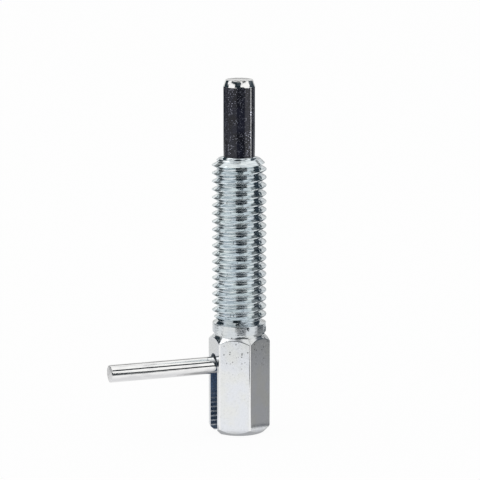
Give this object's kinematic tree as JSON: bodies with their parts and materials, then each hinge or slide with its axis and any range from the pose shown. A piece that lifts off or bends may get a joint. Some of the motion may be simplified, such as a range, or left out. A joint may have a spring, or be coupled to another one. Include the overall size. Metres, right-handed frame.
{
  "type": "indexing plunger",
  "caption": "Hand-retractable indexing plunger: threaded barrel with hexagon end, spring-loaded dark pin, and a straight side handle that runs in an open slot.",
  "frame": {"origin": "on the axis, at the lower end of the thread's major diameter, above the undercut and collar", "axes": "+Z along the axis towards the plunger's nose; the handle points along -X"},
  "size_m": [0.0302, 0.0114, 0.0656],
  "materials": {
    "zinc_plated_body": "bright blue-white zinc plating over turned and milled steel",
    "black_oxide_pin": "hardened steel, black oxide, with a bright ground tip",
    "polished_handle": "ground and polished rod",
    "spring_steel": "drawn spring wire"
  },
  "bodies": {
    "body": {"threaded_body": "zinc_plated_body", "return_spring": "spring_steel"},
    "plunger": {"plunger": "black_oxide_pin", "pull_handle": "polished_handle"}
  },
  "joints": [
    {"name": "plunger_slide", "type": "slide", "parent": "body", "child": "plunger", "axis": [0, 0, -1], "range_m": [0, 0.0147], "stiffness_N_per_m": 1180, "springref_m": -0.005, "deforming": ["return_spring"]}
  ]
}
